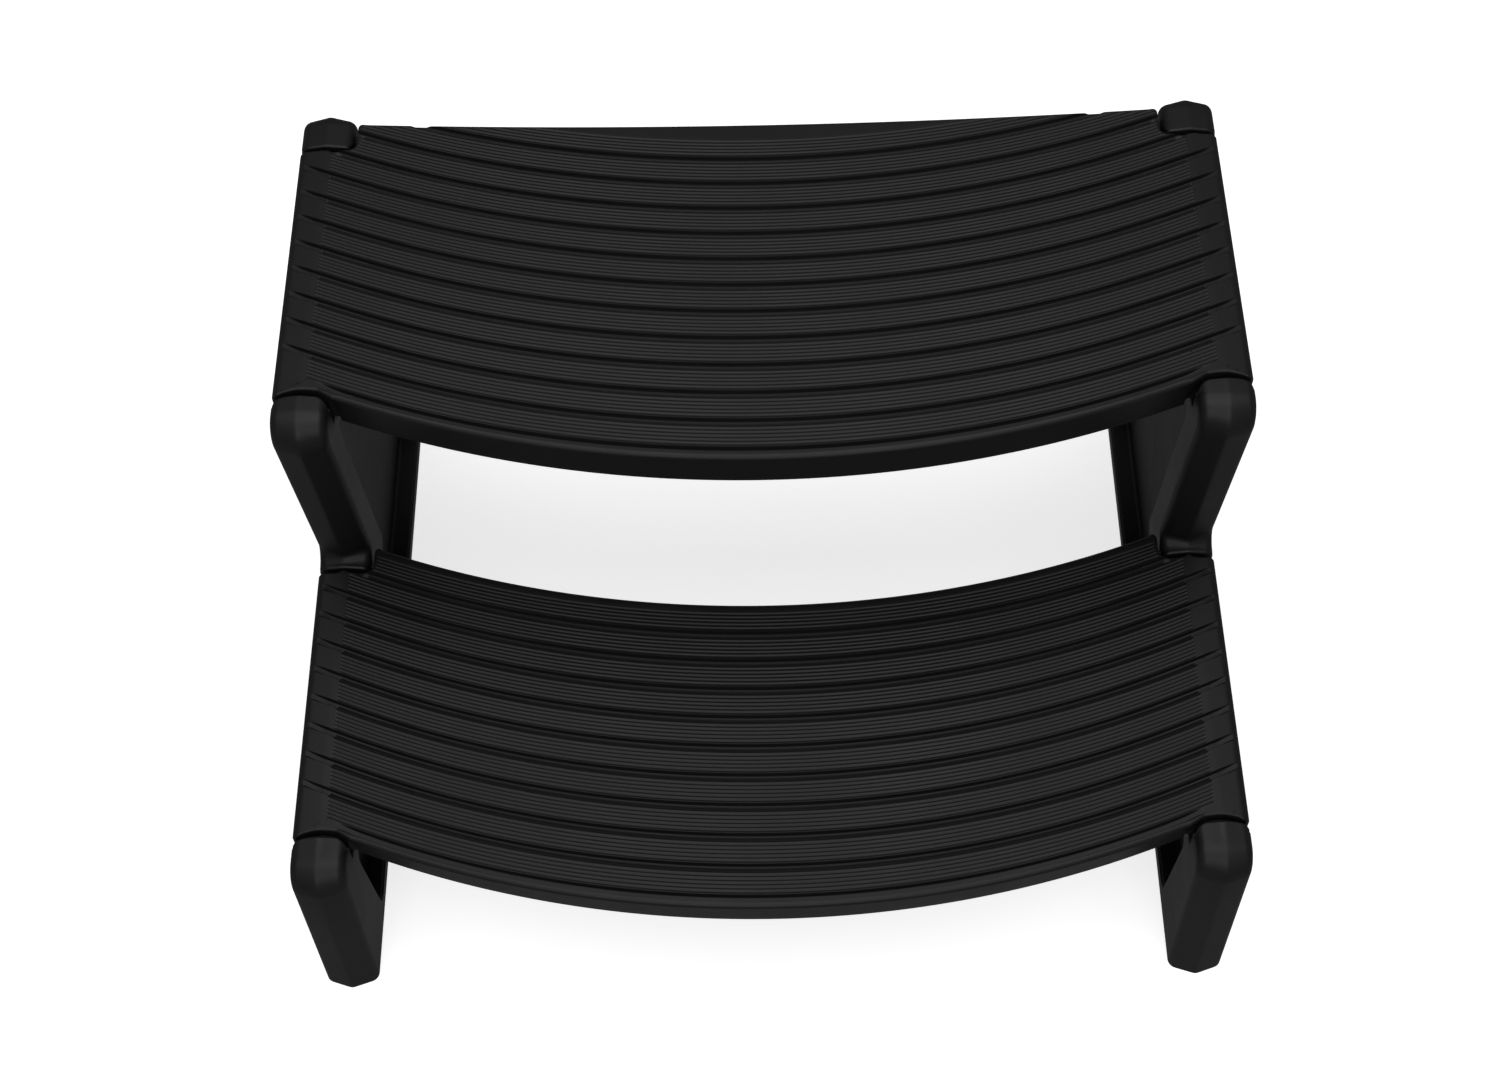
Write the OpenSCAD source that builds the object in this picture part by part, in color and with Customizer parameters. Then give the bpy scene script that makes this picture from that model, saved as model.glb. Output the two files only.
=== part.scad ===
// Two-tread moulded plastic step: two hollow side frames and two grooved treads held by screws.
// Millimetres. +Z up, +X to the right, the front faces -Y, origin on the floor under the middle.

/* [Overall] */
// Width over the outer faces of the side frames
overall_width = 700; // [600:10:900]
// Height of the lower tread above the floor
lower_height = 178; // [170:1:186]
// Height of the upper tread above the floor
upper_height = 384; // [370:2:398]
// Distance in plan from the lower tread to the upper tread
tread_offset = 248; // [244:1:252]

/* [Side frames] */
// Thickness of a side frame
frame_width = 41; // [36:1:50]
// Height of the ridge that runs round the frame's edge, above the edge of the side face
ridge_height = 10.5; // [9:0.5:12]
// Width and height of the sloping corner between the ridge's facet and the side face
shoulder = 6.5; // [4:0.5:7]
// Depth of the hollow rim, measured in the plane of the frame
rim_depth = 46; // [42:1:50]
// Depth of the rim along the floor
foot_depth = 12; // [10:1:16]
// Wall thickness of the hollow rim
wall = 3.5; // [2.5:0.5:4.5]
// Thickness of the web that closes the frame
web = 7; // [5:1:10]
// Radius of the ridge at the knees
knee_radius = 24; // [18:1:28]
// Radius of the ridge at the rear cap
cap_radius = 16; // [12:1:22]
// Radius of the ridge where the riser meets the lower rail
inner_radius = 6; // [4:1:7]
// How far the riser leans back between the two treads
riser_lean = 30; // [26:1:32]
// How far the front foot stands ahead of the lower knee
foot_splay = 8; // [0:1:12]
// How much the front leg's rim widens behind the knee, down to the floor
foot_spread = 13; // [0:1:20]

/* [Treads] */
// Radius of the curved front edge, the grooves and the lower rear edge
arc_radius = 828; // [780:2:900]
// Depth of the front and rear lips of a tread
lip_depth = 40; // [38:1:42]
// How far the front lip leans back from the nose to its lower edge
nose_lean = 7.5; // [7:0.5:8]
// Depth of the skirts that hang over a rail
skirt_depth = 31; // [29:1:33]
// Thickness of the deck and of the saddle over the rail
deck = 6; // [5:0.5:7]
// Thickness of the lips, skirts and flanges
skin = 4; // [3:0.5:5]
// Distance from one deep groove to the next
groove_pitch = 24.1; // [23.5:0.1:24.5]
// Width of a deep groove
groove_width = 4.4; // [3:0.2:6]
// Depth of a deep groove
groove_depth = 3; // [2:0.25:4]
// Radius of the rounded nose
nose_radius = 4; // [2:0.5:4]
// Thickness of the ribs under the deck
rib = 3; // [2:0.5:4]

/* [Screws] */
// Diameter of the screw shank
screw_d = 4.8; // [4:0.2:6]
// Length of the shank under the head
screw_length = 22; // [16:1:26]
// Diameter of the washer face under the head
screw_face_d = 12; // [10:0.5:14]
// Diameter of the head
screw_head_d = 9; // [7:0.5:10]

/* [Hidden] */
$fn = 64;

plastic = [0.13, 0.13, 0.135];
steel = [0.72, 0.73, 0.75];

gap = 0.4;          // moulding clearance between a tread and its rails
joint_gap = 2.5;    // gap between a tread's end and the shoulder of the frame
inboard_gap = 2.5;  // gap between a tread and the inner face of a knee or cap

half_width = overall_width / 2;
half_frame = frame_width / 2;
ridge_x = half_width - half_frame;
inner_x = half_width - frame_width;
slope = (ridge_height - shoulder) / (half_frame - shoulder);

// Places along Y, worked out from the lower tread's nose and the rear ridge
saddle_length = 229;   // length of a tread over its rail
nose_lead = 62;        // nose ahead of the front shoulder, at mid-width
knee_lead = 40;        // sharp corner of a knee's ridge ahead of the front shoulder
cap_length = 41;       // rear ridge behind the rear shoulder
depth = nose_lead + tread_offset + saddle_length + cap_length;
lower_joint = nose_lead - depth / 2;
upper_joint = lower_joint + tread_offset;
lower_nose = lower_joint - nose_lead;
upper_nose = upper_joint - nose_lead;
lower_knee_y = lower_joint - knee_lead;
upper_knee_y = upper_joint - knee_lead;
rear_y = depth / 2;

// The treads, from nose to rear edge at mid-width
first_groove = 7;      // middle of the first groove behind the nose
lower_strips = 10;     // whole strips between grooves on the lower tread
rear_land = 3.2;       // from the middle of the place of an eleventh groove to the rear edge
lower_length = first_groove + lower_strips * groove_pitch + rear_land;
upper_grooves = 12;
upper_length = 308;
upper_rear_radius = 5500;  // the upper tread's rear edge is nearly straight
reach = 400;               // more than any tread's length, for cutting shapes

// The ridge line of a side frame, counter-clockwise in (Y, Z), and the radius at each corner.
// It starts and ends a little below the floor, where the frame is cut flat.
below = 4;
outline = [
    [rear_y, -below],
    [rear_y, upper_height],
    [upper_knee_y, upper_height],
    [upper_knee_y + riser_lean, lower_height],
    [lower_knee_y, lower_height],
    [lower_knee_y - foot_splay * (1 + below / lower_height), -below]
];
corner_r = [0, cap_radius, knee_radius, inner_radius, knee_radius, 0];
corner_steps = 12;
last = len(outline) - 1;

function heading(a, b) = atan2(b[1] - a[1], b[0] - a[0]);
function turn(i) =
    let (t = heading(outline[i], outline[i + 1]) - heading(outline[i - 1], outline[i]))
    t > 180 ? t - 360 : (t < -180 ? t + 360 : t);
function along(angle) = [cos(angle), sin(angle)];

// The points round corner i, at a depth inside the ridge line. The centre of the corner is inside
// the frame where the outline turns left, and outside it where the outline turns right.
function corner_points(i, d) =
    let (h = heading(outline[i - 1], outline[i]), r = corner_r[i], left = sign(turn(i)),
        centre = outline[i] - r * tan(abs(turn(i)) / 2) * along(h) + left * r * along(h + 90))
    [for (k = [0 : corner_steps])
        centre + (r - left * d) * along(h - left * 90 + turn(i) * k / corner_steps)];
function end_point(p, h, d) = p - [d / sin(h), 0];
function rim_loop(d) = concat(
    [end_point(outline[0], heading(outline[0], outline[1]), d)],
    [for (i = [1 : last - 1]) each corner_points(i, d)],
    [end_point(outline[last], heading(outline[last - 1], outline[last]), d)]
);

// The peaked section of the rim as (depth inside the ridge line, distance from the middle plane).
// It runs past the side faces, which are cut flat.
past = 2;
rim_section = [
    [ridge_height + past, half_frame + past],
    [ridge_height - shoulder, half_frame - shoulder],
    [0, 0],
    [ridge_height - shoulder, shoulder - half_frame],
    [ridge_height + past, -half_frame - past]
];

// The peaked edge of a side frame as loops of points, from one side over the ridge to the other
module peaked_edge() {
    n = len(rim_loop(0));
    rows = len(rim_section);
    points = [for (s = rim_section) each [for (p = rim_loop(s[0])) [p[0], p[1], s[1]]]];
    bands = [for (row = [0 : rows - 2], k = [0 : n - 2])
        [row * n + k, row * n + k + 1, (row + 1) * n + k + 1, (row + 1) * n + k]];
    near_side = [for (k = [n - 1 : -1 : 0]) k];
    far_side = [for (k = [0 : n - 1]) (rows - 1) * n + k];
    lower_face = concat([for (row = [0 : rows - 1]) row * n],
        [for (row = [rows - 1 : -1 : 0]) row * n + n - 1]);
    polyhedron(points = points, faces = concat(bands, [near_side, far_side, lower_face]));
}

module frame_blank() {
    intersection() {
        peaked_edge();
        translate([-depth, 0, -half_frame])
            cube([2 * depth, 2 * upper_height, frame_width]);
    }
}

// The inner edge of the rim, at a distance m inside the ridge line and a height base at its foot
function inner_edge(m, base) = [
    [rear_y - m, base],
    [rear_y - m, upper_height - m],
    [upper_knee_y + m, upper_height - m],
    [upper_knee_y + riser_lean + m, lower_height - m],
    [lower_knee_y + m, lower_height - m],
    [lower_knee_y + foot_spread + m, base]
];

// Both side faces are recessed inside the rim, down to the web
module recesses() {
    for (side = [-1, 1])
        translate([0, 0, side * (half_frame + web / 2) - half_frame])
            linear_extrude(frame_width)
                polygon(inner_edge(rim_depth, foot_depth));
}

// The part of a rail that a tread sits on, as (depth below the tread's top, distance from middle)
rail_half = half_frame - skin - gap;
rail_tip = deck + 0.3;
rail_shoulder = rail_tip + rail_half * slope;
module rail_core() {
    polygon([
        [-rail_tip, 0],
        [-rail_shoulder, rail_half],
        [-rim_depth, rail_half],
        [-rim_depth, -rail_half],
        [-rail_shoulder, -rail_half]
    ]);
}

// What is cut from a rail to seat a tread, along local X and with the rail's top at local Y = 0
module tread_seat() {
    rotate([90, 0, 90])
        linear_extrude(saddle_length + 2 * joint_gap)
            difference() {
                translate([-skirt_depth - gap, -frame_width])
                    square([skirt_depth + gap + 2, 2 * frame_width]);
                rail_core();
            }
}

// The hollow inside the rim, with a wall of the same thickness all round
module hollow() {
    linear_extrude(frame_width - 2 * wall, center = true)
        difference() {
            intersection() {
                polygon(rim_loop(ridge_height + wall));
                translate([-depth, wall])
                    square([2 * depth, 2 * upper_height]);
            }
            polygon(inner_edge(rim_depth - wall, 0));
            at_levels()
                translate([-joint_gap - wall, wall - rim_depth])
                    square([saddle_length + 2 * (joint_gap + wall), rim_depth]);
        }
    // Under a tread the hollow is narrower and lower
    h = rail_half - wall;
    at_levels()
        translate([-joint_gap - 2 * wall, wall - rim_depth, -h])
            cube([saddle_length + 2 * joint_gap + 4 * wall, rim_depth - rail_shoulder - 2 * wall, 2 * h]);
}

// Puts its children at the front shoulder of each tread, at the height of the tread's top
module at_levels() {
    translate([lower_joint, lower_height, 0])
        children();
    translate([upper_joint, upper_height, 0])
        children();
}

// Screw places along a tread, from its front shoulder, and down from its top
screw_places = [52, 175];
screw_drop = 23;
boss_d = 15;
module at_screws() {
    at_levels()
        for (place = screw_places)
            translate([place, -screw_drop, 0])
                children();
}

// One side frame, lying in local XY with its thickness along local Z; inboard is local -Z
module side_frame_body() {
    difference() {
        frame_blank();
        recesses();
        at_levels()
            translate([-joint_gap, 0, 0])
                tread_seat();
        difference() {
            hollow();
            at_screws()
                cylinder(d = boss_d, h = frame_width, center = true);
        }
        at_screws()
            translate([0, 0, -half_frame])
                cylinder(d = screw_d + 0.2, h = skin + screw_length);
    }
}

// A side frame in place: side is -1 on the left and 1 on the right
module side_frame(side) {
    color(plastic)
        translate([side * ridge_x, 0, 0])
            mirror([side < 0 ? 1 : 0, 0, 0])
                rotate([90, 0, 90])
                    side_frame_body();
}

// Plan of a tread between its side frames, between the nose arc and the rear edge
module tread_plan(nose_y, rear_r, rear_edge, inset) {
    limit = inner_x - inboard_gap - inset;
    difference() {
        intersection() {
            translate([0, nose_y + arc_radius])
                circle(r = arc_radius - inset, $fn = 720);
            translate([-limit, nose_y - 1])
                square([2 * limit, reach]);
        }
        translate([0, rear_edge + rear_r])
            circle(r = rear_r + inset, $fn = 1440);
    }
}

// Section of the nose and of the rear lip: a wall with its outer top edge rounded, which leans
// back by lean at its lower edge
module lip_section(h, lean) {
    polygon([
        [nose_radius - lean - skin, 0],
        [nose_radius - lean, 0],
        [nose_radius, h - nose_radius],
        [nose_radius - skin, h - nose_radius]
    ]);
    translate([0, h - nose_radius])
        intersection() {
            square([nose_radius, nose_radius]);
            circle(r = nose_radius);
        }
}

// A lip along an arc about (0, centre_y): the deck is inside the nose's arc and outside the rear's
module curved_lip(centre_y, r, rear, lean) {
    translate([0, centre_y])
        rotate([0, 0, -120])
            rotate_extrude(angle = 60, $fn = 1440)
                translate([r, 0])
                    mirror([rear, 0])
                        translate([-nose_radius, 0])
                            lip_section(lip_depth, lean);
}

// Saddle that wraps the rail at one end of a tread, as (X, height)
margin_fall = 1.5;  // of the plain margin, from over the ridge to its sloping outer corner
module saddle_section() {
    s = half_frame - skin;
    polygon([
        [inner_x - inboard_gap - skin, 0],
        [ridge_x, 0],
        [half_width - shoulder, -margin_fall],
        [half_width, -margin_fall - shoulder],
        [half_width, -skirt_depth],
        [half_width - skin, -skirt_depth],
        [half_width - skin, -deck - s * slope],
        [ridge_x, -deck],
        [inner_x + skin, -deck - s * slope],
        [inner_x + skin, -skirt_depth],
        [inner_x, -skirt_depth],
        [inner_x, -deck],
        [inner_x - inboard_gap - skin, -deck]
    ]);
}

module grooves(nose_y, count) {
    for (i = [0 : count - 1])
        translate([0, nose_y + first_groove + i * groove_pitch + arc_radius])
            difference() {
                circle(r = arc_radius + groove_width / 2, $fn = 720);
                circle(r = arc_radius - groove_width / 2, $fn = 720);
            }
}

// Ribs under the deck: some follow the grooves and the rest run from front to back
rib_depth = 16;
rib_pitch = 60;
rib_setback = 1.4;    // of the ribs' front ends, to stay inside the leaning lip
rib_rows = 5;    // half the number of gaps between the ribs that run from front to back
module rib_plan(nose_y, rear_r, rear_edge, arcs) {
    intersection() {
        tread_plan(nose_y + rib_setback, rear_r, rear_edge, skin - 1);
        union() {
            for (i = [1 : arcs])
                translate([0, nose_y + i * rib_pitch + arc_radius])
                    difference() {
                        circle(r = arc_radius, $fn = 720);
                        circle(r = arc_radius - rib, $fn = 720);
                    }
            for (i = [1 - rib_rows : rib_rows - 1])
                translate([i * rib_pitch - rib / 2, nose_y])
                    square([rib, reach]);
        }
    }
}

// A tread with its top at height zero
module tread(nose_y, joint, rear_r, rear_edge, groove_count, arc_ribs) {
    limit = inner_x - inboard_gap;
    difference() {
        union() {
            translate([0, 0, -deck])
                linear_extrude(deck)
                    tread_plan(nose_y, rear_r, rear_edge, nose_radius);
            translate([0, 0, -deck - rib_depth])
                linear_extrude(rib_depth + 1)
                    rib_plan(nose_y, rear_r, rear_edge, arc_ribs);
            intersection() {
                translate([0, 0, -lip_depth]) {
                    curved_lip(nose_y + arc_radius, arc_radius, 0, nose_lean);
                    curved_lip(rear_edge + rear_r, rear_r, 1, 0);
                }
                translate([-limit, nose_y - 1, -lip_depth])
                    cube([2 * limit, reach, lip_depth]);
            }
            for (side = [0, 1])
                mirror([side, 0, 0])
                    tread_end(joint, nose_y, rear_r, rear_edge);
        }
        translate([0, 0, -groove_depth])
            linear_extrude(groove_depth + 1)
                grooves(nose_y, groove_count);
        for (side = [0, 1], place = screw_places)
            mirror([side, 0, 0])
                translate([inner_x - 1, joint + place, -screw_drop])
                    rotate([0, 90, 0])
                        cylinder(d = screw_d + 2 * gap, h = skin + 2);
    }
}

// How far an arc has moved back at the inner face of the end wall, from where it is at mid-width
function arc_back(r) = r - sqrt(r * r - pow(inner_x - inboard_gap - skin, 2));

// The right-hand end of a tread: its saddle, and the end wall beside the knee and the cap. The
// wall ends in the middle of the front and rear lips, and overlaps the deck a little.
lap = 0.5;
module tread_end(joint, nose_y, rear_r, rear_edge) {
    translate([0, joint + saddle_length, 0])
        rotate([90, 0, 0])
            linear_extrude(saddle_length)
                saddle_section();
    front = nose_y + arc_back(arc_radius) + skin / 2 + 2 * lap;
    rear = rear_edge + arc_back(rear_r) - skin / 2;
    translate([inner_x - inboard_gap - skin, 0, 0])
        rotate([90, 0, 90])
            linear_extrude(skin)
                polygon([
                    [front + nose_lean, -lip_depth],
                    [joint + skin, -lip_depth],
                    [joint + skin, lap - deck],
                    [joint + saddle_length - skin, lap - deck],
                    [joint + saddle_length - skin, -lip_depth],
                    [rear, -lip_depth],
                    [rear, -2 * lap],
                    [front, -2 * lap]
                ]);
}

module lower_tread() {
    color(plastic)
        translate([0, 0, lower_height])
            tread(lower_nose, lower_joint, arc_radius, lower_nose + lower_length, lower_strips, 3);
}

module upper_tread() {
    color(plastic)
        translate([0, 0, upper_height])
            tread(upper_nose, upper_joint, upper_rear_radius, upper_nose + upper_length,
                upper_grooves, 4);
}

// Pan-head screw with a washer face, its axis along +X and its face at X = 0
head_height = 2.6;
face_height = 1.2;
point_length = 3;
point_d = 1;
recess_depth = 1.8;
recess_width = 1.1;
module screw() {
    difference() {
        rotate([0, 90, 0]) {
            cylinder(d = screw_d, h = screw_length - point_length);
            translate([0, 0, screw_length - point_length])
                cylinder(d1 = screw_d, d2 = point_d, h = point_length);
            translate([0, 0, -face_height])
                cylinder(d = screw_face_d, h = face_height);
            translate([0, 0, -face_height - head_height])
                cylinder(d1 = screw_head_d - 2, d2 = screw_head_d, h = head_height);
        }
        for (turned = [0, 90])
            translate([-face_height - head_height, 0, 0])
                rotate([turned, 0, 0])
                    cube([2 * recess_depth, screw_head_d / 2, recess_width], center = true);
    }
}

// The two screws at one end of a tread
module screw_pair(side, joint, height) {
    color(steel)
        for (place = screw_places)
            translate([side * inner_x, joint + place, height - screw_drop])
                mirror([side < 0 ? 1 : 0, 0, 0])
                    screw();
}

side_frame(-1);  // left_side_frame
side_frame(1);  // right_side_frame
lower_tread();
upper_tread();
screw_pair(-1, lower_joint, lower_height);  // lower_left_screws
screw_pair(1, lower_joint, lower_height);  // lower_right_screws
screw_pair(-1, upper_joint, upper_height);  // upper_left_screws
screw_pair(1, upper_joint, upper_height);  // upper_right_screws
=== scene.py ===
"""Looks for the two-tread moulded step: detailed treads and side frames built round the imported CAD.

Shapes are worked out in millimetres and turned into metres when a mesh is made.
"""
import math

import bmesh
import bpy
import numpy as np
from mathutils import Matrix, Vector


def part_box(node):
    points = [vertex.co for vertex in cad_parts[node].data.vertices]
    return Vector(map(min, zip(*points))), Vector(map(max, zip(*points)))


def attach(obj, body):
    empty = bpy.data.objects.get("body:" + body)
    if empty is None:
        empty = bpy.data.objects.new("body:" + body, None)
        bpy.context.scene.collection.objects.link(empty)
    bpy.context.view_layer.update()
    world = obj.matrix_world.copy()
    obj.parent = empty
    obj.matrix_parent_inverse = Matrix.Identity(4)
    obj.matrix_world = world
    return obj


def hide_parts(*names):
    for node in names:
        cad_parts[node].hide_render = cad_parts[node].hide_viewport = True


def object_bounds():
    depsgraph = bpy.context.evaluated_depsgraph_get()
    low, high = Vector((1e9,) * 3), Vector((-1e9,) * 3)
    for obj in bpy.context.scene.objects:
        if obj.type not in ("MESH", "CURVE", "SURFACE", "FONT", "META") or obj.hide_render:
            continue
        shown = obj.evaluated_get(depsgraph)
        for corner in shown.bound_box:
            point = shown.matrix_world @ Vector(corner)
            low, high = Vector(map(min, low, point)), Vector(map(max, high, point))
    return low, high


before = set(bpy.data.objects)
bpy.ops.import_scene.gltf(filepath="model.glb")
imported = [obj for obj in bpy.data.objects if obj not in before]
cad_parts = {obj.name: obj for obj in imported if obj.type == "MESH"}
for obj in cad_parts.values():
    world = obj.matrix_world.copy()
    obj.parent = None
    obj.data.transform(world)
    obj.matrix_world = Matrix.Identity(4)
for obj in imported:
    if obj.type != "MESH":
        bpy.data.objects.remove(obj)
cad_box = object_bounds()

MM = 1000.0

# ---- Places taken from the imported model, in millimetres ----
HALF_WIDTH = cad_box[1][0] * MM
REAR_Y = cad_box[1][1] * MM
TOP = {1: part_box("lower_tread")[1][2] * MM, 2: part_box("upper_tread")[1][2] * MM}
NOSE = {1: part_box("lower_tread")[0][1] * MM, 2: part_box("upper_tread")[0][1] * MM}

# ---- Side frames ----
FRAME_WIDTH = 41.0               # thickness of a side frame
HALF_FRAME = FRAME_WIDTH / 2
RIDGE_X = HALF_WIDTH - HALF_FRAME
INNER_X = HALF_WIDTH - FRAME_WIDTH
NOSE_LEAD = 62.0                 # nose ahead of the front shoulder, at mid-width
JOINT = {level: NOSE[level] + NOSE_LEAD for level in NOSE}
SADDLE = {1: 228.6, 2: 232.0}    # front shoulder to rear shoulder
KNEE_LEAD = 40.0                 # sharp corner of a knee's ridge ahead of the front shoulder
LOWER_KNEE_Y = JOINT[1] - KNEE_LEAD
UPPER_KNEE_Y = JOINT[2] - KNEE_LEAD
RISER_LEAN = 30.0                # how far the riser leans back between the two treads
FOOT_SPLAY = 8.0                 # how far the front foot stands ahead of the lower knee
FOOT_SPREAD = 13.0               # how much the front leg's rim widens behind, down to the floor
FOOT_DEPTH = 12.0                # depth of the rim along the floor
RIM_DEPTH = 46.0                 # depth of the rim round the recesses
WEB = 7.0                        # thickness of the web between them
OUTLINE = [                      # the ridge line, counter-clockwise in (Y, Z)
    (REAR_Y, 0.0),
    (REAR_Y, TOP[2]),
    (UPPER_KNEE_Y, TOP[2]),
    (UPPER_KNEE_Y + RISER_LEAN, TOP[1]),
    (LOWER_KNEE_Y, TOP[1]),
    (LOWER_KNEE_Y - FOOT_SPLAY, 0.0),
]
OUTLINE_R = [0.0, 16.0, 24.0, 6.0, 24.0, 0.0]

# The ridged section: slope of a facet in degrees and radius of its outer edge, on level and on
# upright stretches of the frame
LEVEL_SECTION = (9.0, 8.0)
UPRIGHT_SECTION = (19.0, 7.5)
RIDGE_ROUND = 1.4                # half-width over which the ridge line is rounded
BOW_START = 7.0                  # from here out, the front shoulder bows forward
BOW = 3.5                        # how far it has come forward at the outer face
CHAMFER = (8.3, 8.2)             # the front shoulder's inner corner is cut off, across and ahead
SHOULDER_END = 2.2               # rounding where a shoulder meets the outer face

# ---- Treads ----
ARC_R = 828.0                    # of the nose, the grooves and the lower tread's rear edge
LIP = 40.0                       # depth of the front and rear lips
NOSE_LEAN = 7.5                  # how far the front lip leans back, down to its lower edge
SKIRT = 31.0                     # depth of the skirts that hang over a rail
DECK = 6.0                       # thickness under the top
SKIN = 4.0                       # thickness of lips, skirts and end walls
PITCH = 24.1                     # from one deep groove to the next
FIRST_GROOVE = 7.0               # middle of the first one, behind the nose
GROOVE_DEPTH = 3.4
GROOVE_HALF = (1.7, 2.9)         # half-width of a deep groove at its floor and at its top
GROOVE_COUNT = {1: 10, 2: 12}
LENGTH = {1: 251.2, 2: 308.0}    # from nose to rear edge at mid-width
REAR_R = {1: ARC_R, 2: 5500.0}
SIDE_GAP = 2.5
TREAD_X = INNER_X - SIDE_GAP     # edge of a tread beside the knees and caps
NOSE_ROUND = 3.4                 # radius of the nose's top edge
CORNER_ROUND = 2.2               # radius of the top edge at the tread's corners
END_ROUND = 1.7                  # radius of the top edge beside the shoulders
OUTER_ROUND = 0.5                # radius along the outer side, under the margin's own rounding
REAR_ROUND = {1: 4.4, 2: 2.8}
FRONT_GAP = 4.4                  # between a front shoulder and the tread, at mid-margin
REAR_GAP = 3.4                   # between the tread and a rear shoulder
CORNER_X = 316.5                 # where the tread's front end turns to the nose

FINE_PITCH = 3.18                # from one fine ridge to the next
FINE_FIRST = 3.3                 # first fine ridge behind the middle of a deep groove
FINE_COUNT = 6
FINE_DEPTH = 0.5
FINE_STEPS = 6                   # rows of the mesh to a fine ridge
WAVINESS = 0.008                 # unevenness of the moulded top
PAST = 3.0                       # how far a cutting shape goes past what it cuts
BEVEL_DEPTH = 0.9                # of the slope along the rear of each strip


# ---------------------------------------------------------------- mesh helpers
def new_object(name, verts, faces):
    mesh = bpy.data.meshes.new(name)
    mesh.from_pydata((np.asarray(verts, float) / MM).tolist(), [], faces)
    mesh.update()
    obj = bpy.data.objects.new(name, mesh)
    bpy.context.scene.collection.objects.link(obj)
    return obj


def outward(obj):
    """Turns all the faces of a closed mesh outwards."""
    bm = bmesh.new()
    bm.from_mesh(obj.data)
    bmesh.ops.recalc_face_normals(bm, faces=bm.faces)
    bm.to_mesh(obj.data)
    bm.free()
    return obj


def loft_faces(rings, first=0):
    """Faces of a closed solid between rings of equal length, with a flat cap at each end."""
    m, n = len(rings), len(rings[0])
    faces = []
    for a in range(m - 1):
        for i in range(n):
            j = (i + 1) % n
            faces.append((first + a * n + i, first + a * n + j,
                          first + (a + 1) * n + j, first + (a + 1) * n + i))
    faces.append(tuple(first + i for i in reversed(range(n))))
    faces.append(tuple(first + (m - 1) * n + i for i in range(n)))
    return faces


def loft(name, solids):
    """One object from one or more lofts, each a list of rings."""
    verts, faces = [], []
    for rings in solids:
        faces += loft_faces(rings, len(verts))
        for ring in rings:
            verts += [tuple(p) for p in ring]
    return outward(new_object(name, verts, faces))


def triangulate(mesh):
    """Splits the many-sided faces that a cut leaves in flat places."""
    bm = bmesh.new()
    bm.from_mesh(mesh)
    bmesh.ops.triangulate(bm, faces=[f for f in bm.faces if len(f.verts) > 4])
    bm.to_mesh(mesh)
    bm.free()


def boolean(obj, tool, operation):
    mod = obj.modifiers.new(operation, "BOOLEAN")
    mod.operation = operation
    mod.object = tool
    mod.solver = "MANIFOLD"
    graph = bpy.context.evaluated_depsgraph_get()
    mesh = bpy.data.meshes.new_from_object(obj.evaluated_get(graph))
    obj.modifiers.clear()
    triangulate(mesh)
    old = obj.data
    obj.data = mesh
    bpy.data.meshes.remove(old)
    bpy.data.meshes.remove(tool.data)
    return obj


def fillet(points, radii, steps=6):
    """A closed polygon (counter-clockwise) with its corners rounded."""
    out = []
    n = len(points)
    for i in range(n):
        p, q, s = (np.array(points[(i + k) % n], float) for k in (-1, 0, 1))
        r = radii[i]
        if r <= 0:
            out.append(q)
            continue
        a, b = (p - q) / np.linalg.norm(p - q), (s - q) / np.linalg.norm(s - q)
        half = math.acos(max(-1.0, min(1.0, float(a @ b)))) / 2
        if half > math.radians(87):
            out.append(q)
            continue
        centre = q + (a + b) / np.linalg.norm(a + b) * r / math.sin(half)
        start = q + a * r / math.tan(half) - centre
        end = q + b * r / math.tan(half) - centre
        a0, a1 = math.atan2(start[1], start[0]), math.atan2(end[1], end[0])
        sweep = (a1 - a0 + math.pi) % (2 * math.pi) - math.pi
        for k in range(steps + 1):
            angle = a0 + sweep * k / steps
            out.append(centre + r * np.array([math.cos(angle), math.sin(angle)]))
    return np.array(out)


def inward(ring):
    """Unit inward normals of a counter-clockwise closed ring of (x, y) points."""
    ahead = np.roll(ring, -1, axis=0) - ring
    behind = ring - np.roll(ring, 1, axis=0)
    ahead /= np.linalg.norm(ahead, axis=1)[:, None]
    behind /= np.linalg.norm(behind, axis=1)[:, None]
    n1, n2 = (np.stack([-d[:, 1], d[:, 0]], axis=1) for d in (ahead, behind))
    n = n1 + n2
    n /= np.linalg.norm(n, axis=1)[:, None]
    return n / np.sum(n * n1, axis=1)[:, None]


def step(x, lo, hi):
    """Smooth step from 0 at lo to 1 at hi."""
    t = np.clip((np.asarray(x, float) - lo) / (hi - lo), 0.0, 1.0)
    return t * t * (3 - 2 * t)


# ---------------------------------------------------------------- treads
def arc_drop(x):
    """How far a groove or the nose has moved back at x, from where it is at mid-width."""
    return ARC_R - np.sqrt(ARC_R ** 2 - np.asarray(x, float) ** 2)


MARGIN_FALL = 1.2
MARGIN_EDGE = 7.0                # radius of the margin's outer edge
EDGE_X = HALF_WIDTH - MARGIN_EDGE


def margin_drop(x):
    """How far the top of a tread's margin lies below the deck at x."""
    ax = np.abs(np.asarray(x, float))
    fall = MARGIN_FALL * np.clip((ax - RIDGE_X) / (EDGE_X - RIDGE_X), 0.0, None) ** 1.15
    over = np.clip(ax - EDGE_X, 0.0, MARGIN_EDGE)
    past = np.clip(ax - HALF_WIDTH, 0.0, None)
    fall = np.minimum(fall, MARGIN_FALL + 0.1)
    return fall + MARGIN_EDGE - np.sqrt(MARGIN_EDGE ** 2 - over ** 2) + past


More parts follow.
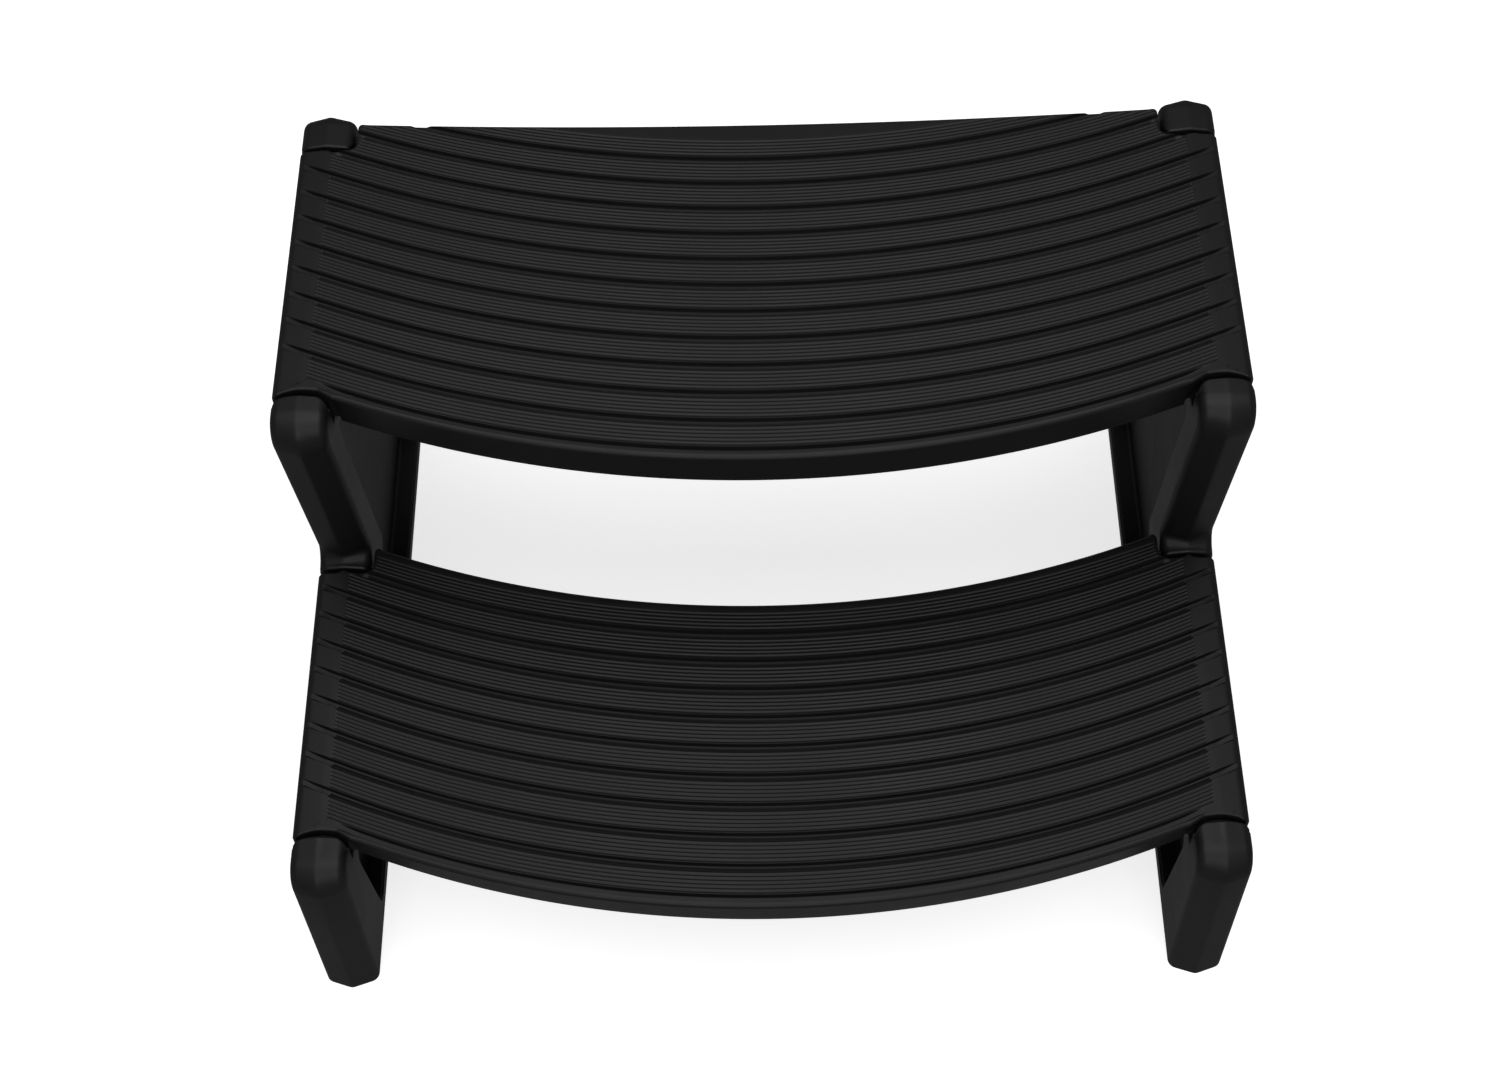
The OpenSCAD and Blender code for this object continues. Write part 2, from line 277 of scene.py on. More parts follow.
GROOVE_FADE = (333.0, 348.5)     # where a deep groove runs out, across
FIRST_FADE = (300.0, 319.0)      # the same for the first one
FINE_EDGE = 324.5                # where the fine ridges stop over the saddle
PLAIN_RIM = 3.2                  # plain rim beside the knees and caps


def tread_outline(level):
    """Plan of a tread, measured back from its nose: (ring, radius of the top edge at each point)."""
    half = []                                    # right half, from the nose round to the rear

    def add(points, r):
        half.extend((float(x), float(y), r) for x, y in points)

    xs = np.linspace(0, TREAD_X, 54)
    add([(x, arc_drop(x)) for x in xs[:-1]], NOSE_ROUND)
    corner_y = float(arc_drop(TREAD_X))

    def end_y(x):                                # the front end of the saddle bows back
        t = (x - RIDGE_X) / HALF_FRAME
        return NOSE_LEAD + FRONT_GAP - (6.4 * t ** 2.2 if t > 0 else 3.1 * t * t)

    b = (CORNER_X, end_y(CORNER_X))
    c = (HALF_WIDTH, end_y(HALF_WIDTH))
    rear = NOSE_LEAD + SADDLE[level] - REAR_GAP
    d = (HALF_WIDTH, rear - 0.4)
    e = (TREAD_X, rear)
    f = (TREAD_X, float(rear_y(level, TREAD_X)))
    corner = fillet([(xs[-2], float(arc_drop(xs[-2]))), (TREAD_X, corner_y), b,
                     (b[0] + 3, end_y(b[0] + 3))], [0, 2.5, 2.5, 0], 4)[1:-1]
    add(corner, CORNER_ROUND)
    for x in np.linspace(b[0] + 3, HALF_WIDTH - 3, 14):
        add([(x, end_y(x))], END_ROUND)
    outer = fillet([(HALF_WIDTH - 3.1, end_y(HALF_WIDTH - 3.1)), c, d,
                    (HALF_WIDTH - 4, rear)], [0, 2.6, 2.6, 0], 6)
    count = len(outer)
    for k, p in enumerate(outer[1:-1]):
        add([p], OUTER_ROUND if 3 <= k <= count - 6 else 1.2)
    for x in np.linspace(HALF_WIDTH - 4, TREAD_X + 8, 24):
        t = x - RIDGE_X                          # the end points back a little along the ridge
        add([(x, rear + 2.2 * math.exp(-(t / 3.0) ** 2))], END_ROUND)
    add(fillet([(TREAD_X + 7.9, rear), e, f], [0, 6.0, 0], 8)[1:-1], END_ROUND)
    xr = TREAD_X - 7
    add(fillet([e, f, (xr, float(rear_y(level, xr)))], [0, 3.5, 0], 6)[1:-1], CORNER_ROUND)
    add([(x, float(rear_y(level, x))) for x in np.linspace(xr, 0, 50)[:-1]], REAR_ROUND[level])
    half.append((0.0, float(rear_y(level, 0)), REAR_ROUND[level]))
    full = half + [(-x, y, r) for x, y, r in reversed(half[1:-1])]
    data = np.array(full)
    return data[:, :2], data[:, 2]


def rear_y(level, x):
    """Rear edge of a tread, measured back from its nose."""
    r = REAR_R[level]
    return LENGTH[level] + r - np.sqrt(r * r - np.asarray(x, float) ** 2)


def edge_distance(x, y, ring):
    """Distance from grid points to a closed ring of (x, y) points."""
    best = np.full(x.shape, 1e9)
    nxt = np.roll(ring, -1, axis=0)
    for a, b in zip(ring, nxt):
        e = b - a
        t = np.clip(((x - a[0]) * e[0] + (y - a[1]) * e[1]) / (e @ e), 0.0, 1.0)
        best = np.minimum(best, (x - a[0] - t * e[0]) ** 2 + (y - a[1] - t * e[1]) ** 2)
    return np.sqrt(best)


def groove_shape(d):
    """Depth of a deep groove at a distance d from its middle, across it."""
    return 1 - step(np.abs(d), *GROOVE_HALF)


def strip_rows(level):
    """Rows of the tread's grid, from in front of the nose to behind the rear edge."""
    wall = [0.9, 1.7, 2.0, 2.3, 2.6, 2.9]       # from the groove's floor up to its edge
    groove = [-3.3] + [-w for w in reversed(wall)] + wall + [3.1]
    fine = list(FINE_FIRST
                + np.arange(0, (FINE_COUNT - 1) * FINE_STEPS + 4) * FINE_PITCH / FINE_STEPS)
    rows = list(np.arange(-22.0, 3.1, 1.5))
    for k in range(GROOVE_COUNT[level] + 1):
        middle = FIRST_GROOVE + k * PITCH
        if k < GROOVE_COUNT[level]:
            rows += [middle + g for g in groove]
        rows += [middle + s for s in fine]
    top = LENGTH[level] + 6
    rows = sorted(r for r in rows if r <= top)
    return np.array(rows + [top + 1])


def tread_columns():
    """Columns of the grid: close together where the margin and its outer edge curve."""
    middle = list(np.linspace(-288, 288, 59))
    side = list(np.arange(293, 300, 2.5)) + list(np.arange(300.5, 322, 1.5))
    side += [322.5, 323.4, 324.0, 324.5, 325.0, 325.6, 327, 328.6, 329.5, 330.6, 332, 334, 336.5]
    side += [339, 341, 343, 344.2, 345.4, 346.5, 347.5, 348.3, 349, 349.5, 349.85, 350.0, 351.0]
    side = [s + HALF_WIDTH - 350.0 for s in side]
    return np.array([-s for s in reversed(side)] + middle + side)


def top_height(level, x, v, ring):
    """Height of a tread's top, measured up from the deck's plane, at x and at v behind the nose."""
    y = v + arc_drop(x)
    ax = np.abs(x)
    strip = (v - FIRST_GROOVE) / PITCH
    k = np.clip(np.floor(strip), -1, GROOVE_COUNT[level] - 1)
    s = v - FIRST_GROOVE - k * PITCH             # from the groove in front of this strip
    across = np.sqrt(1 - (x / ARC_R) ** 2)       # a groove is measured square to its own line
    near = np.where(k >= 0, groove_shape(s * across), 0.0)
    has_next = k + 1 < GROOVE_COUNT[level]
    far = np.where(has_next, groove_shape((s - PITCH) * across), 0.0)
    depth = np.maximum(near, far) * GROOVE_DEPTH
    # The grooves run out on the margin, the first one before it reaches the frame
    fade = 1 - step(ax, *GROOVE_FADE)
    fade = np.where(v < FIRST_GROOVE + 3.5, 1 - step(ax, *FIRST_FADE), fade)
    z = -depth * fade
    # The fine ridges, and the bevel along the rear of each strip
    last = FINE_FIRST + (FINE_COUNT - 1) * FINE_PITCH
    wave = 0.5 * (1 - np.cos(2 * np.pi * (s - FINE_FIRST) / FINE_PITCH))
    wave = np.where(s < FINE_FIRST, 0.0, wave)
    wave = np.where(s > last + FINE_PITCH / 2, 1.0, wave)
    bevel = np.clip((s - last - 0.4 * FINE_PITCH) / 2.2, 0.0, 1.0)
    rim = step(edge_distance(x, y, ring), PLAIN_RIM - 0.6, PLAIN_RIM + 0.5)
    keep = rim * (1 - step(ax, FINE_EDGE - 0.6, FINE_EDGE + 0.6)) * (k >= 0)
    keep = keep * np.where(has_next, 1.0, 1 - step(s, last, last + 1))
    z = z - keep * (FINE_DEPTH * wave + BEVEL_DEPTH * bevel)
    z = z + WAVINESS * np.sin(1.9 * x + 0.7 * v) * np.sin(2.3 * v)
    return z - margin_drop(x)


def tread_slab(level, ring):
    """A slab under the grooved top, wider than the tread, for the outline to be cut from."""
    cols, rows = tread_columns(), strip_rows(level)
    x, v = np.meshgrid(cols, rows)
    z = top_height(level, x, v, ring)
    y = v + arc_drop(x)
    nr, nc = x.shape
    top = np.stack([x, y, z], axis=-1).reshape(-1, 3)
    verts = [tuple(p) for p in top]
    faces = [(a * nc + b, a * nc + b + 1, (a + 1) * nc + b + 1, (a + 1) * nc + b)
             for a in range(nr - 1) for b in range(nc - 1)]
    rim = ([b for b in range(nc)] + [a * nc + nc - 1 for a in range(1, nr)]
           + [(nr - 1) * nc + b for b in range(nc - 2, -1, -1)]
           + [a * nc for a in range(nr - 2, 0, -1)])
    base = len(verts)
    verts += [(top[i][0], top[i][1], -LIP - PAST) for i in rim]
    n = len(rim)
    faces += [(rim[(i + 1) % n], rim[i], base + i, base + (i + 1) % n) for i in range(n)]
    faces.append(tuple(base + i for i in reversed(range(n))))
    return outward(new_object("slab", verts, faces))


def outline_loft(ring, radii):
    """Upright walls round a tread's plan, with a rounded edge that follows the margin's fall."""
    n = inward(ring)
    back = np.array([0.0, ARC_R]) - ring         # towards the middle of the nose's arc
    reach = np.linalg.norm(back, axis=1)
    back /= reach[:, None]
    back[(reach < ARC_R - 3) | (ring[:, 1] > NOSE_LEAD)] = 0.0  # the nose alone leans back
    lean_from = 4.0                              # depth at which the lip starts to lean
    foot_r = 0.9                                 # radius of the lower edge

    def layer(amount, z):
        p = ring + n * amount[:, None]
        z = z if np.ndim(z) else np.full(len(ring), float(z))
        lean = NOSE_LEAN * np.clip((-z - lean_from) / (LIP - lean_from), 0.0, 1.0)
        return np.column_stack([p + back * lean[:, None], z])

    rings = [layer(np.full(len(ring), foot_r), -LIP)]
    for angle in (30, 60, 90):
        a = math.radians(angle)
        rings.append(layer(np.full(len(ring), foot_r * (1 - math.sin(a))),
                           -LIP + foot_r * (1 - math.cos(a))))
    for angle in range(0, 91, 15):
        a = math.radians(angle)
        amount = radii * (1 - math.cos(a))
        x = ring[:, 0] + n[:, 0] * amount
        rings.append(layer(amount, -margin_drop(x) - radii * (1 - math.sin(a))))
    rings.append(layer(radii, 2.0))
    return loft("outline", [rings])


def prism(ring, z0, z1, draft=0.0, corner=2.0):
    """Rings of a pocket that narrows a little upwards and has a rounded roof edge."""
    n = inward(ring)
    rings = []
    for z, d in ((z0, 0.0), (z1 - corner, draft), (z1 - 0.3 * corner, draft + 0.3 * corner),
                 (z1, draft + corner)):
        p = ring + n * d
        rings.append(np.column_stack([p, np.full(len(ring), z)]))
    return rings


def cavity_ring(level, x0, x1, front, rear, flat_rear):
    """Plan of a compartment under the deck between two curves that run across the tread."""
    xs = np.linspace(x0, x1, max(3, int((x1 - x0) / 9) + 1))
    lo = [(x, front + float(arc_drop(x))) for x in xs]
    if flat_rear:
        hi = [(x, float(rear_y(level, x)) - SKIN) for x in xs]
    else:
        hi = [(x, rear + float(arc_drop(x))) for x in xs]
    points = lo + hi[::-1]
    radii = [0.0] * len(points)
    for i in (0, len(lo) - 1, len(lo), len(points) - 1):
        radii[i] = 2.5
    return fillet(points, radii, 3)


RIB = 3.0                        # thickness of a rib
RIB_PITCH = 60.0
RIB_DRAFT = 0.4
NARROWEST = 10.0                 # a narrower space between ribs is left solid
RIB_FOOT = 18.0                  # how far the ribs stop above the bottom of the lips
LIP_BACK = SKIN + NOSE_LEAN      # inner side of the front lip, behind the nose


def under_deck(level):
    """Pockets between the ribs under the deck, and the open space below the ribs."""
    side = TREAD_X - SKIN
    whole = cavity_ring(level, -side, side, LIP_BACK, 0, True)
    low = [np.column_stack([whole, np.full(len(whole), z)]) for z in (-LIP - 4, -LIP + RIB_FOOT)]
    edges = [-side] + [k * RIB_PITCH for k in range(-4, 5)] + [side]
    arcs = 3 if level == 1 else 4
    rows = [LIP_BACK] + [RIB_PITCH * k for k in range(1, arcs + 1)] + [None]
    pockets = []
    for a, b in zip(edges[:-1], edges[1:]):
        x0 = a if a == -side else a + RIB / 2
        x1 = b if b == side else b - RIB / 2
        for i, (front, rear) in enumerate(zip(rows[:-1], rows[1:])):
            front = front if i == 0 else front + RIB
            flat = rear is None
            u0, u1 = x0, x1
            if flat:                             # the last row stops where it gets too narrow
                limit = max(abs(x) for x in np.arange(0, side, 1.0)
                            if rear_y(level, x) - SKIN - front - arc_drop(x) > NARROWEST)
                u0, u1 = max(x0, -limit), min(x1, limit)
            if u1 - u0 > NARROWEST - 2:
                ring = cavity_ring(level, u0, u1, front, rear, flat)
                pockets.append(prism(ring, -LIP + RIB_FOOT - 2, -DECK, RIB_DRAFT))
    return loft("open_space", [low]), loft("pockets", pockets)


def saddle_cuts(level):
    """Three cuts: the space inside the saddles for the rails, the open strips where the screw
    heads are, and what lies below the skirts."""
    rails, strips, trims = [], [], []
    y0, y1 = NOSE_LEAD - 8, NOSE_LEAD + SADDLE[level] + 8
    half = HALF_FRAME - SKIN
    wall_x = 301.0                               # just inside the end wall
    trim_x = 305.0                               # inside its outer face
    for side in (-1, 1):
        section = [(-half, -LIP - 4), (half, -LIP - 4), (half, -DECK - 5.5), (half - 3.5, -DECK - 3),
                   (0, -DECK), (3.5 - half, -DECK - 3), (-half, -DECK - 5.5)]
        rails.append([[(side * RIDGE_X + t, y, z) for t, z in section] for y in (y0, y1)])
        ring = np.array([(wall_x, NOSE_LEAD + 6), (INNER_X, NOSE_LEAD + 6),
                         (INNER_X, y1 - 17), (wall_x, y1 - 17)])
        ring = fillet(ring, [0, 2.0, 2.0, 0], 4)
        if side < 0:
            ring = (ring * np.array([-1.0, 1.0]))[::-1]
        strips.append(prism(ring, -LIP - 4, -DECK - 0.6, 0.0, 1.5))
        below = [(side * x, z) for x, z in ((trim_x, -LIP - 4), (HALF_WIDTH + 4, -LIP - 4),
                                            (HALF_WIDTH + 4, -SKIRT), (trim_x, -SKIRT))]
        trims.append([[(x, y, z) for x, z in below] for y in (y0 + 4, y1 - 4)])
    return loft("rails", rails), loft("strips", strips), loft("trims", trims)


def make_tread(level, name, node):
    """One whole tread, cut from a grooved slab, that stands for its CAD node."""
    ring, radii = tread_outline(level)
    tread = tread_slab(level, ring)
    boolean(tread, outline_loft(ring, radii), "INTERSECT")
    for tool in (*under_deck(level), *saddle_cuts(level)):
        boolean(tread, tool, "DIFFERENCE")
    place(tread, name, (0, NOSE[level], TOP[level]))
    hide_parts(node)
    return tread


SHARP = math.radians(34)         # a sharper edge is shaded as an edge
WELD = 0.00002                   # metres


def place(obj, name, shift):
    """Names a finished piece, moves its vertices into place and shades it."""
    obj.name = name
    obj.data.name = name
    obj.data.transform(Matrix.Translation([s / MM for s in shift]))
    clean(obj)
    obj.data.shade_smooth()
    obj.data.set_sharp_from_angle(angle=SHARP)
    normals = obj.modifiers.new("normals", "WEIGHTED_NORMAL")
    normals.keep_sharp = True
    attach(obj, "root")


def clean(obj):
    """Merges points that the cuts left on top of each other."""
    bm = bmesh.new()
    bm.from_mesh(obj.data)
    bmesh.ops.remove_doubles(bm, verts=bm.verts, dist=WELD)
    bmesh.ops.dissolve_degenerate(bm, edges=bm.edges, dist=WELD)
    bm.to_mesh(obj.data)
    bm.free()


# ---------------------------------------------------------------- side frames
def section_points(heading):
    """Section of the rim as (distance from the middle plane, depth inside the ridge line)."""
    level = math.cos(heading) ** 2
    facet = math.radians(LEVEL_SECTION[0] * level + UPRIGHT_SECTION[0] * (1 - level))
    r = LEVEL_SECTION[1] * level + UPRIGHT_SECTION[1] * (1 - level)
    m = math.tan(facet)
    e = m * RIDGE_ROUND

    def depth(t):
        return math.sqrt((m * t) ** 2 + e * e) - e

    x1 = HALF_FRAME - r + r * math.sin(facet)
    half = [(t, depth(t)) for t in (0.0, 0.6, 1.2, 2.0, 3.2, 5.5, 8.5)]
    half.append((x1, depth(x1)))
    centre = depth(x1) + r * math.cos(facet)
    steps = 7
    for k in range(1, steps + 1):
        a = facet + (math.pi / 2 - facet) * k / steps
        half.append((HALF_FRAME - r + r * math.sin(a), centre - r * math.cos(a)))
    return [(-t, d) for t, d in reversed(half[1:])] + half


def rim_stations():
    """Places along the ridge line as (function from depth to point, heading)."""
    points = [np.array(p) for p in OUTLINE]
    heads = [math.atan2(*(points[i + 1] - points[i])[::-1]) for i in range(len(points) - 1)]
    stations = []

    def foot(p, h):
        return lambda d: (p[0] - d / math.sin(h), p[1])

    def straight(p, h):
        normal = np.array([-math.sin(h), math.cos(h)])
        return lambda d: tuple(p + normal * d)

    def arc(centre, r, sign, angle):
        way = np.array([math.cos(angle), math.sin(angle)])
        return lambda d: tuple(centre + way * (r - sign * d))

    stations.append((foot(points[0], heads[0]), heads[0]))
    for i in range(1, len(points) - 1):
        h0, h1 = heads[i - 1], heads[i]
        turn = (h1 - h0 + math.pi) % (2 * math.pi) - math.pi
        sign = math.copysign(1, turn)
        r = OUTLINE_R[i]
        back = r * math.tan(abs(turn) / 2)
        along = np.array([math.cos(h0), math.sin(h0)])
        start = points[i] - back * along
        centre = start + sign * r * np.array([-math.sin(h0), math.cos(h0)])
        previous = stations[-1]
        for k in (1, 2):                         # two more on the straight before the corner
            a = np.array(previous[0](0.0))
            stations.append((straight(a + (start - a) * k / 3, h0), h0))
        steps = 16
        for k in range(steps + 1):
            h = h0 + turn * k / steps
            stations.append((arc(centre, r, sign, h - sign * math.pi / 2), h))
    stations.append((foot(points[-1], heads[-1]), heads[-1]))
    return stations


def frame_blank(side):
    """The ridged rim and what is inside it, as one closed solid, before it is recessed."""
    verts, faces = [], []
    stations = rim_stations()
    for point, heading in stations:
        for t, d in section_points(heading):
            y, z = point(d)
            verts.append((side * RIDGE_X + side * t, y, z))
    n = len(section_points(0.0))
    m = len(stations)
    for a in range(m - 1):
        for i in range(n - 1):
            faces.append((a * n + i, a * n + i + 1, (a + 1) * n + i + 1, (a + 1) * n + i))
    faces.append(tuple(a * n for a in range(m)))
    faces.append(tuple(a * n + n - 1 for a in reversed(range(m))))
    faces.append(tuple(i for i in reversed(range(n))) + tuple((m - 1) * n + i for i in range(n)))
    return outward(new_object("blank", verts, faces))


def recess_loft(side):
    """The pockets in both faces of a side frame, down to the web."""
    m = RIM_DEPTH
    corners = [
        (REAR_Y - m, FOOT_DEPTH),
        (REAR_Y - m, TOP[2] - m),
        (UPPER_KNEE_Y + m, TOP[2] - m),
        (UPPER_KNEE_Y + RISER_LEAN + m, TOP[1] - m),
        (LOWER_KNEE_Y + m, TOP[1] - m),
        (LOWER_KNEE_Y + FOOT_SPREAD + m, FOOT_DEPTH),
    ]
    ring = fillet(corners, [10, 14, 14, 12, 14, 10], 8)
    n = inward(ring)
    solids = []
    for face in (-1, 1):
        rings = []
        flare, floor_r = 2.0, 3.0
        profile = [(HALF_FRAME + 2, -flare)]
        for angle in range(0, 91, 15):
            a = math.radians(angle)
            profile.append((HALF_FRAME - flare * math.sin(a), -flare * math.cos(a)))
        profile[1] = (HALF_FRAME, -flare)
        bottom = WEB / 2
        for angle in range(0, 91, 18):
            a = math.radians(angle)
            profile.append((bottom + floor_r * (1 - math.sin(a)), 0.5 + floor_r * (1 - math.cos(a))))
        for t, d in profile:
            p = ring + n * d
            rings.append([(side * RIDGE_X + face * t, q[0], q[1]) for q in p])
        solids.append(rings)
    return loft("recess", solids)


def surface_depth(t):
    """Depth of a level stretch's surface at a distance t from the ridge."""
    ts, ds = zip(*[(t, d) for t, d in section_points(0.0) if t >= 0])
    return np.interp(np.abs(t), ts, ds)


SHOULDER_ROUND = 1.8             # radius of a shoulder's top edge


def seat_loft(side, level):
    """What is cut from a rail so that a tread can sit over it, with rounded edges."""
    joint = JOINT[level]
    inner = -HALF_FRAME
    # Front shoulder, from the outer side to the inner: straight, then round the inner corner
    chord = np.array([[inner, -CHAMFER[1]], [inner + CHAMFER[0], 0.0]])
    middle = chord.mean(axis=0) + np.array([-0.7, 0.71]) * 1.7
    curve = []
    for k in range(9):
        s = k / 8
        curve.append((1 - s) ** 2 * chord[1] + 2 * s * (1 - s) * (2 * middle - chord.mean(axis=0))
                     + s * s * chord[0])
    def bow(t):                                  # the shoulder bows forward to its outer end
        return -BOW * (max(t - BOW_START, 0.0) / (HALF_FRAME - BOW_START)) ** 2

    flank = HALF_FRAME - SHOULDER_END
    front = [(HALF_FRAME + 2, -5.6), (HALF_FRAME, -5.6), (HALF_FRAME - 0.7, -4.2),
             (flank, bow(flank) - 0.4)]
    front += [(t, bow(t)) for t in np.linspace(HALF_FRAME - 4.5, chord[1][0] + 1.5, 12)]
    front += [tuple(p) for p in curve]
    front += [(inner - 2, -CHAMFER[1])]
    # Rear shoulder, from the inner side back to the outer: round the inner corner, then straight
    end = SADDLE[level]
    rear = [(inner - 2, end + 5.0)]
    r = 5.0
    for k in range(7):
        a = math.radians(90 * k / 6)
        rear.append((inner + r - r * math.cos(a), end + r - r * math.sin(a)))
    rear += [(t, end) for t in np.linspace(inner + r + 1.5, HALF_FRAME - 4.5, 14)]
    rear += [(flank, end), (HALF_FRAME - 0.7, end + 0.7),
             (HALF_FRAME, end + SHOULDER_END), (HALF_FRAME + 2, end + SHOULDER_END)]
    ring = np.array(front + rear)
    outwards = np.zeros_like(ring)
    count = len(front)
    n = -inward(ring[::-1])[::-1]
    flat = np.abs(ring[:, 0]) > HALF_FRAME + 1
    outwards[:count] = n[:count]
    outwards[count:] = n[count:]
    outwards[flat] = np.array([0.0, 1.0])
    outwards[:count][flat[:count]] = np.array([0.0, -1.0])
    top = TOP[level]
    fall = surface_depth(np.minimum(np.abs(ring[:, 0]), HALF_FRAME))

    def layer(amount, z):
        p = ring + outwards * amount
        zz = z if np.ndim(z) else np.full(len(ring), float(z))
        return [(side * (RIDGE_X + q[0]), joint + q[1], w) for q, w in zip(p, zz)]

    rings = [layer(0.0, top - SKIRT - 0.6)]
    for angle in range(0, 91, 18):
        a = math.radians(angle)
        rings.append(layer(SHOULDER_ROUND * (1 - math.cos(a)),
                           top - fall - SHOULDER_ROUND * (1 - math.sin(a))))
    rings.append(layer(SHOULDER_ROUND, top + 6.0))
    return loft("seat", [rings])


def rail_core(side, level):
    """The narrower rail that runs on under a tread."""
    half = HALF_FRAME - SKIN - 0.6
    y0, y1 = JOINT[level] - 14, JOINT[level] + SADDLE[level] + 12
    top, base = TOP[level] - DECK - 3.5, TOP[level] - RIM_DEPTH + 2
    section = [(-half, base), (half, base), (half, top - 3.5), (half - 3, top - 1.5), (0, top),
               (3 - half, top - 1.5), (-half, top - 3.5)]
    return loft("core", [[[(side * RIDGE_X + t, y, z) for t, z in section] for y in (y0, y1)]])


def corner_block(side, level):
    """Fills the notch inside the front shoulder's inner corner, below what shows from above."""
    inner = -HALF_FRAME
    plan = [(inner, -14.0), (inner + 14, -14.0), (inner + 14, 0.0), (inner + 6.5, -0.6),
            (inner, -4.6)]
    return loft("block", [[[(side * (RIDGE_X + t), JOINT[level] + y, TOP[level] + z) for t, y in plan]
                           for z in (-SKIRT - 3, -13.0)]])


def make_frame(side, name, node):
    """One whole side frame that stands for its CAD node; side is -1 on the left, 1 on the right."""
    obj = frame_blank(side)
    boolean(obj, recess_loft(side), "DIFFERENCE")
    for level in (1, 2):
        boolean(obj, seat_loft(side, level), "DIFFERENCE")
        boolean(obj, rail_core(side, level), "UNION")
        boolean(obj, corner_block(side, level), "UNION")
    place(obj, name, (0, 0, 0))
    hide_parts(node)
    return obj


# ---------------------------------------------------------------- materials
def nodes_of(name):
    """An empty material with a Principled shader: (material, node tree, shader)."""
    mat = bpy.data.materials.new(name)
    mat.use_nodes = True
    tree = mat.node_tree
    tree.nodes.clear()
    out = tree.nodes.new("ShaderNodeOutputMaterial")
    shader = tree.nodes.new("ShaderNodeBsdfPrincipled")
    tree.links.new(shader.outputs["BSDF"], out.inputs["Surface"])
    return mat, tree, shader


def noise(tree, coords, scale, detail=3.0, rough=0.55):
    n = tree.nodes.new("ShaderNodeTexNoise")
    n.inputs["Scale"].default_value = scale
    n.inputs["Detail"].default_value = detail
    n.inputs["Roughness"].default_value = rough
    tree.links.new(coords, n.inputs["Vector"])
    return n.outputs["Fac"]


def spread(tree, value, lo, hi, out_lo, out_hi):
    """Maps a value from lo..hi to out_lo..out_hi."""
    m = tree.nodes.new("ShaderNodeMapRange")
    for key, number in (("From Min", lo), ("From Max", hi), ("To Min", out_lo), ("To Max", out_hi)):
        m.inputs[key].default_value = number
    tree.links.new(value, m.inputs["Value"])
    return m.outputs["Result"]


def maths(tree, kind, a, b):
    m = tree.nodes.new("ShaderNodeMath")
    m.operation = kind
    for socket, value in zip(m.inputs, (a, b)):
        if isinstance(value, (int, float)):
            socket.default_value = value
        else:
            tree.links.new(value, socket)
    return m.outputs["Value"]


def plastic_material():
    """Black moulded plastic: fine spark-eroded grain, faint flow marks, polished high edges with a
    painted highlight along them.
    """
    mat, tree, shader = nodes_of("black_moulded_plastic")
    coords = tree.nodes.new("ShaderNodeTexCoord").outputs["Object"]
    grain = noise(tree, coords, 1500, 2.0, 0.6)
    mottle = noise(tree, coords, 60, 4.0, 0.6)
    flow = noise(tree, coords, 9, 3.0, 0.5)
    stretch = tree.nodes.new("ShaderNodeMapping")
    stretch.inputs["Rotation"].default_value = (0.0, 0.0, 0.5)
    stretch.inputs["Scale"].default_value = (18.0, 420.0, 260.0)
    tree.links.new(coords, stretch.inputs["Vector"])
    scratch = noise(tree, stretch.outputs["Vector"], 1.0, 2.0, 0.5)
    scuffs = spread(tree, scratch, 0.66, 0.74, 0.0, 1.0)
    # Pointiness picks out convex edges and ridge lines: there the base colour is lightened as a painted
    # highlight, and the roughness is lowered as polish from wear.
    edges = tree.nodes.new("ShaderNodeNewGeometry").outputs["Pointiness"]
    polish_and_painted_highlight = spread(tree, edges, 0.508, 0.54, 0.0, 1.0)

    ramp = tree.nodes.new("ShaderNodeMix")
    ramp.data_type = "RGBA"
    ramp.inputs["A"].default_value = (0.0050, 0.0050, 0.0053, 1)
    ramp.inputs["B"].default_value = (0.0078, 0.0078, 0.0083, 1)
    # Base colour: random mottled tone plus the painted highlight on convex edges and ridges.
    shade = maths(tree, "ADD", maths(tree, "MULTIPLY", mottle, 0.6), maths(tree, "MULTIPLY", polish_and_painted_highlight, 0.5))
    tree.links.new(shade, ramp.inputs["Factor"])
    tree.links.new(ramp.outputs["Result"], shader.inputs["Base Color"])

    rough = spread(tree, flow, 0.3, 0.7, 0.44, 0.52)
    rough = maths(tree, "ADD", rough, maths(tree, "MULTIPLY", maths(tree, "SUBTRACT", mottle, 0.5), 0.10))
    rough = maths(tree, "SUBTRACT", rough, maths(tree, "MULTIPLY", polish_and_painted_highlight, 0.08))
    rough = maths(tree, "ADD", rough, maths(tree, "MULTIPLY", scuffs, 0.05))
    tree.links.new(rough, shader.inputs["Roughness"])
    shader.inputs["IOR"].default_value = 1.49
    shader.inputs["Specular IOR Level"].default_value = 0.35

    height = maths(tree, "ADD", maths(tree, "MULTIPLY", grain, 0.7), maths(tree, "MULTIPLY", mottle, 0.5))
    height = maths(tree, "SUBTRACT", height, maths(tree, "MULTIPLY", scuffs, 0.15))
    bump = tree.nodes.new("ShaderNodeBump")
    bump.inputs["Strength"].default_value = 0.35
    bump.inputs["Distance"].default_value = 0.00012
    tree.links.new(height, bump.inputs["Height"])
    tree.links.new(bump.outputs["Normal"], shader.inputs["Normal"])
    return mat


